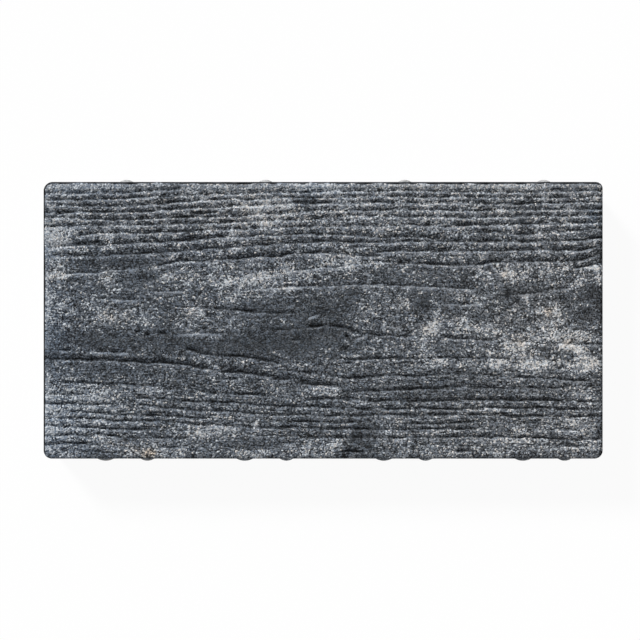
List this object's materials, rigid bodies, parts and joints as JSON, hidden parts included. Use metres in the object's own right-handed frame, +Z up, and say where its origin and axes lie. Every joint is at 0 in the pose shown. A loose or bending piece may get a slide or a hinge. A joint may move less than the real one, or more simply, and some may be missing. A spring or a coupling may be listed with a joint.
{
  "type": "paving slab",
  "caption": "Rectangular concrete paving slab with a wood-grain face, rounded corners and half-round joint spacers along its long sides.",
  "frame": {"origin": "middle of the bed, the flat underside that lies on the ground", "axes": "+X along the slab's length and its grain, +Y towards the long side with single spacers, +Z up out of the wood-grain face"},
  "size_m": [0.6, 0.303, 0.05],
  "materials": {
    "concrete": "rough cast concrete, anthracite with pale grey mottling"
  },
  "bodies": {
    "root": {"paving_slab": "concrete"}
  },
  "joints": []
}
